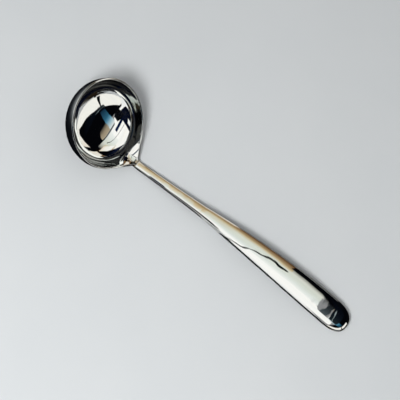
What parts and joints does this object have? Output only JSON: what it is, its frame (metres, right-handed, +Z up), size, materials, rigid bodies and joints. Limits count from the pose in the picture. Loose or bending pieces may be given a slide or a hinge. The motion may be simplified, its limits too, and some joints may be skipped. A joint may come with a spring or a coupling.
{
  "type": "sauce ladle",
  "caption": "Polished stainless sauce ladle: round bowl with a pointed lip, slim rising stem and hollow rounded handle, lying on a table.",
  "frame": {"origin": "on the table, under the middle of the lying ladle's box", "axes": "+Z up from the table, +X along the ladle from the bowl to the handle's tip, +Y to the handle's left seen from the bowl's end"},
  "size_m": [0.2428, 0.062, 0.0457],
  "materials": {
    "polished_steel": "stainless steel, mirror polished",
    "braze": "silver braze, ground and polished flush",
    "cement": "set handle cement, matte"
  },
  "bodies": {
    "root": {"bowl": "polished_steel", "neck_braze": "braze", "stem": "polished_steel", "mouth_solder": "braze", "handle_top_shell": "polished_steel", "handle_bottom_shell": "polished_steel", "seam_braze": "braze", "tang_cement": "cement"}
  },
  "joints": []
}
